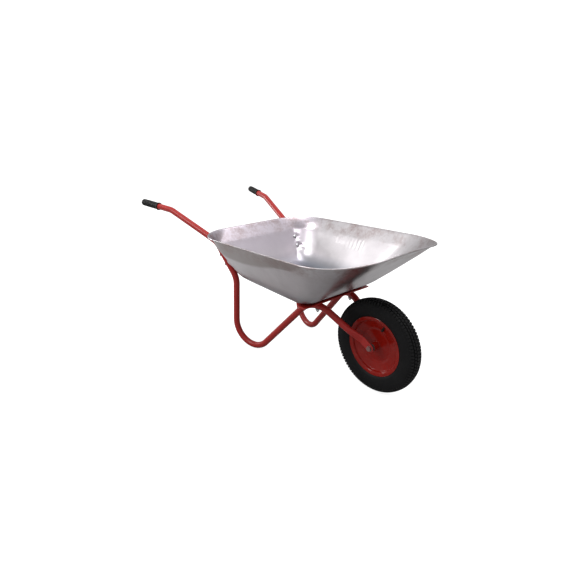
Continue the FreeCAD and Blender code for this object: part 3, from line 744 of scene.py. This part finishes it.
saddle_hollow = saddle_top_r - math.sqrt(saddle_top_r ** 2 - head_r ** 2)
reach = sheet + strap_thickness + through_tube + saddle_hollow + under_head
bolts = []
for side in (-1, 1):
    seat = np.array([axle_x - saddle_back, side * rail_y(saddle_back), floor_z + sheet])
    bolts.append((cup_bolt(seat, (0, 0, -1), reach), False, True))
front_bolts = piece("front_cup_bolts", bolts, "frame", ("front_bolts",), crease=40)
front_bolts.data.materials.append(zinc)
finish_cad(zinc, "rear_washers", "rear_nuts", "front_washers", "front_nuts")

# The axle's fittings are duller and darker zinc with a red tint.
dull_zinc = coat("dull_zinc", patches=(45.0, 1.8), gloss=(70.0, 1.5, 0.25, 0.3),
                 dark=(0.17, 0.10, 0.095), light=(0.30, 0.16, 0.15),
                 wear=(0.0010, 240.0, 0.6, (0.55, 0.42, 0.40)),
                 grain=(900.0, 2.0, 0.2, 0.0002), Metallic=0.7)
finish_cad(dull_zinc, "axle_bolt", "axle_nut", "axle_washers", "axle_spacer_right",
           "axle_spacer_left")

# ---------------------------------------------------------------------------
# Rim and hub: two pressed steel dishes back to back, welded to a short hub tube that
# runs on nylon bushes. Glossy red stove enamel with a little dust.

rim_enamel = coat("red_stove_enamel", patches=(12.0, 1.6), gloss=(20.0, 1.4, 0.10, 0.09),
                  dark=(0.17, 0.0045, 0.0025), light=(0.25, 0.009, 0.0045),
                  wear=(0.0016, 120.0, 0.4, (0.5, 0.07, 0.06)),
                  spots=(26.0, 2.4, 0.55, 1.6, 0.06, (0.36, 0.20, 0.18)),
                  grain=(420.0, 2.0, 0.12, 0.0004),
                  Specular_IOR_Level=0.16, Coat_Weight=0.10, Coat_Roughness=0.12)

hub_centre = np.array([axle_x, 0, axle_z])
rim_sheet = 0.0016
rim_corners = np.array([[0.0153, 0.00015], [0.0620, 0.00015], [0.0695, 0.0036], [0.0985, 0.0095],
                        [0.1016, 0.0180], [0.1060, 0.0200], [0.1143, 0.0206], [0.1150, 0.0219]])
rim_rounding = (0.003, 0.004, 0.004, 0.0028, 0.002, 0.0005)
rim_outline = thick_profile(smooth_profile(rim_corners, rim_rounding), rim_sheet)
for name, side in (("right", -1), ("left", 1)):
    rim_points = turned(rim_outline, 180, hub_centre, (0, side, 0))
    rim = piece("rim_dish_" + name, [(rim_points, True, True)], "wheel",
                ("rim_half_" + name,), crease=40)
    rim.data.materials.append(rim_enamel)

hub_r = 0.01506
hub_half = 0.030
hub_spin = 96
bush_r = 0.0121
bead_r = 0.0024
hub_points = np.array([[bush_r, -hub_half], [hub_r - 0.0006, -hub_half],
                       [hub_r, -hub_half + 0.0008], [hub_r, hub_half - 0.0008],
                       [hub_r - 0.0006, hub_half], [bush_r, hub_half]])
hub_grids = [(turned(hub_points, hub_spin, hub_centre, (0, 1, 0)), True, True)]
# The weld on each side: a bead of overlapping ripples in the corner between hub and disc.
around = np.linspace(0, 2 * np.pi, hub_spin, endpoint=False)
section = np.linspace(0, 2 * np.pi, 12, endpoint=False)[:, None]
bead = bead_r * (1 + 0.12 * np.abs(np.sin(around * 17)))
bead_grid = np.stack([hub_r + 0.0004 + bead * np.cos(section),
                      0.0024 + bead * np.sin(section) * 0.9], -1)
for side in (-1, 1):
    hub_grids.append((turned(bead_grid, hub_spin, hub_centre, (0, side, 0)), True, True))
hub = piece("hub_with_welds", hub_grids, "wheel", ("hub_tube",), crease=40)
hub.data.materials.append(rim_enamel)

nylon = coat("grey_nylon", patches=(70.0, 1.5), gloss=(90.0, 1.4, 0.2, 0.35),
             dark=(0.045, 0.040, 0.040), light=(0.085, 0.075, 0.072))
finish_cad(nylon, "hub_bush_right", "hub_bush_left")

# ---------------------------------------------------------------------------
# Tyre: black rubber with staggered blocks in the middle of the tread and lugs that come
# down over the shoulders. The sidewall is smooth with a thin line round it.

tyre_rubber, tree, shader, place = material("tyre_rubber")
tone = blend_colours(tree, clouds(tree, place, 16.0, 1.8), (0.0026, 0.0026, 0.0029),
                     (0.0062, 0.0062, 0.0068))
tread_in = node(tree, "ShaderNodeAttribute", {"attribute_name": "tread"}).outputs["Fac"]
dusty = maths(tree, "MULTIPLY", tread_in, clouds(tree, place, 34.0, 2.2))
tone = laid_over(tree, tone, dusty, 0.30, (0.020, 0.019, 0.021))
connect(tree, shader, tone, uneven(tree, place, 22.0, 1.4, 0.25, 0.46),
        noise(tree, place, 700.0, 3.0), 0.25, 0.0003, Specular_IOR_Level=0.15)

pitches = 88
tread_depth = 0.0042
bead_seat_r = 0.1020
shoulder_corners = np.array([[bead_seat_r, 0.0175], [0.1150, 0.0200], [0.1220, 0.0250],
                             [0.1400, 0.0289], [0.1560, 0.0288], [0.1660, 0.0264],
                             [0.1718, 0.0225], [0.1758, 0.0]])
shoulder_rounding = (0.003, 0.003, 0.006, 0.006, 0.004, 0.004)
shoulder_line = smooth_profile(shoulder_corners, shoulder_rounding, per_bend=6)[::-1]
# Places across, from the middle of the tread to the bead: the blocks' edges, then even steps.
strides = np.linalg.norm(np.diff(shoulder_line, axis=0), axis=1)
lengths = np.concatenate([[0], np.cumsum(strides)])
block_marks = np.array([0, 0.2, 5.6, 6.0, 8.2, 8.6, 15.4, 15.8, 18.0, 18.4, 24.0, 27.0, 30.5,
                        31.2, 34.5]) / 1000
marks = np.concatenate([block_marks, np.linspace(0.0365, lengths[-1], 22)])
half_r = np.interp(marks, lengths, shoulder_line[:, 0])
half_y = np.interp(marks, lengths, shoulder_line[:, 1])
crown = 0.0045 * np.clip(1 - (half_y / 0.0225) ** 2, 0, 1)
half_r = np.where(marks < 0.0235, 0.1712 + crown, half_r)
dr, dy = np.gradient(half_r), np.gradient(half_y)
size = np.maximum(np.hypot(dr, dy), 1e-9)
out_r, out_y = dy / size, -dr / size
step_edges = np.array([0.0, 0.11, 0.135, 0.25, 0.365, 0.39, 0.5, 0.61, 0.635, 0.75, 0.865, 0.89])
theta = (np.arange(pitches)[:, None] + step_edges).ravel() / pitches


def blocks(place_across, phase):
    """Height of the tread, 0 to 1: centre blocks, a staggered row each side, and shoulder lugs."""
    def standing(moved):
        """1 on a block and 0 in the gap between two, the whole row moved by a part of a pitch."""
        phase_there = (phase + moved) % 1
        return np.clip((np.minimum(phase_there, 1 - phase_there)[None] - 0.112) / 0.02, 0, 1)

    s = place_across[:, None]
    centre = s < 0.0058
    second = (s > 0.0084) & (s < 0.0156)
    shoulder = (s > 0.0182) & (s < 0.0308)
    return (centre | shoulder) * standing(0) + second * standing(0.5)


fall = np.interp(marks, [0, 0.024, 0.031, 0.04], [1, 0.95, 0.45, 0])[:, None]
tread = blocks(marks, (theta * pitches) % 1) * fall
side_r = half_r[:, None] + out_r[:, None] * tread * tread_depth
side_y = half_y[:, None] + out_y[:, None] * tread * tread_depth
thin_line = 0.0006 * np.exp(-((marks - 0.050) / 0.0008) ** 2)[:, None]
side_y = side_y + thin_line
# The bead's inner edge closes the ring inside: right half, left half, and back to the middle.
around_zero = 0 * theta[None]
middle, edge = around_zero, around_zero + 0.0125
seat_ring = around_zero + bead_seat_r
full_r = np.concatenate([seat_ring, seat_ring, side_r[::-1], side_r[1:], seat_ring, seat_ring])
full_y = np.concatenate([middle, edge, side_y[::-1], -side_y[1:], -edge, -middle])
full_tread = np.concatenate([middle, middle, tread[::-1], tread[1:], middle, middle])
spin = theta * 2 * np.pi + 0 * full_r
tyre_points = np.stack([axle_x + full_r * np.cos(spin), full_y, axle_z + full_r * np.sin(spin)], -1)
tyre = piece("block_tread_tyre", [(tyre_points, False, True)], "wheel",
             ("tyre", "inner_tube"), crease=32, values={"tread": full_tread})
tyre.data.materials.append(tyre_rubber)
finish_cad(rubber, "inner_tube", "valve_stem", "valve_cap")

# ---------------------------------------------------------------------------
# Studio: a pale floor, soft light from above, from the front and from the rear, and the camera.
# The floor glows for the camera alone, so that it shows white and lights nothing.

floor_half = 40
floor_drop = -0.0005
floor_mesh = bpy.data.meshes.new("studio_floor")
floor_corners = [(x * floor_half, y * floor_half, floor_drop)
                 for x, y in ((-1, -1), (1, -1), (1, 1), (-1, 1))]
floor_mesh.from_pydata(floor_corners, [], [(0, 1, 2, 3)])
floor = bpy.data.objects.new("studio_floor", floor_mesh)
bpy.context.scene.collection.objects.link(floor)
pale, tree, shader, place = material("pale_floor")
seen = node(tree, "ShaderNodeLightPath").outputs["Is Camera Ray"]
connect(tree, shader, (0.40, 0.40, 0.40, 1), 0.95, Specular_IOR_Level=0.0,
        Emission_Strength=scaled(tree, seen, 0.85), Emission_Color=(1, 1, 1, 1))
floor_mesh.materials.append(pale)

# The air is brightest overhead and dimmer towards the horizon; what shows behind is white.
world = bpy.data.worlds.new("studio_air")
world.use_nodes = True
tree = world.node_tree
direction = node(tree, "ShaderNodeTexCoord").outputs["Generated"]
upwards = node(tree, "ShaderNodeSeparateXYZ", Vector=direction).outputs["Z"]
climb = maths(tree, "POWER", maths(tree, "MAXIMUM", upwards, 0.0), 0.8)
dome = maths(tree, "ADD", scaled(tree, climb, 0.75), 0.33)
seen = node(tree, "ShaderNodeLightPath").outputs["Is Camera Ray"]
air = tree.nodes["Background"]
feed(tree, air.inputs["Strength"], maths(tree, "MAXIMUM", dome, scaled(tree, seen, 1.1)))
feed(tree, air.inputs["Color"], (1.0, 1.0, 1.0, 1))
bpy.context.scene.world = world


def soft_light(name, place, aim, size, power):
    """A square soft light at place, facing aim."""
    lamp = bpy.data.lights.new(name, "AREA")
    lamp.shape = "RECTANGLE"
    lamp.size, lamp.size_y = size
    lamp.energy = power
    made = bpy.data.objects.new(name, lamp)
    made.location = place
    made.rotation_euler = (Vector(aim) - Vector(place)).to_track_quat("-Z", "Y").to_euler()
    bpy.context.scene.collection.objects.link(made)


soft_light("overhead", (0.2, 0.2, 3.2), (0, 0, 0.3), (2.4, 2.4), 55)
soft_light("front_left", (-1.05, -2.4, 2.0), (-0.1, 0.1, 0.3), (0.8, 1.3), 34)
soft_light("front_right", (3.0, 0.5, 1.7), (0.2, 0, 0.3), (1.4, 1.6), 1)
soft_light("rear", (-2.5, -0.85, 0.95), (0.2, 0.1, 0.45), (0.7, 1.1), 26)

azimuth, elevation, roll = math.radians(48.69), math.radians(21.92), math.radians(0.85)
camera_distance = 2.0153
lens_mm = 28.601036
target = Vector((axle_x - 0.4929, 0, 0.2463))
back_way = Vector((math.sin(azimuth) * math.cos(elevation),
                   -math.cos(azimuth) * math.cos(elevation), math.sin(elevation)))
level_right = Vector((math.cos(azimuth), math.sin(azimuth), 0))
level_up = back_way.cross(level_right)
right = level_right * math.cos(roll) + level_up * math.sin(roll)
up = level_up * math.cos(roll) - level_right * math.sin(roll)
camera_data = bpy.data.cameras.new("camera")
camera_data.sensor_width = 36
camera_data.lens = lens_mm
camera_data.clip_end = 200
camera = bpy.data.objects.new("camera", camera_data)
turn_matrix = Matrix((right, up, back_way)).transposed().to_4x4()
camera.matrix_world = Matrix.Translation(target + back_way * camera_distance) @ turn_matrix
bpy.context.scene.collection.objects.link(camera)
bpy.context.scene.camera = camera
bpy.context.scene.view_settings.view_transform = "Standard"
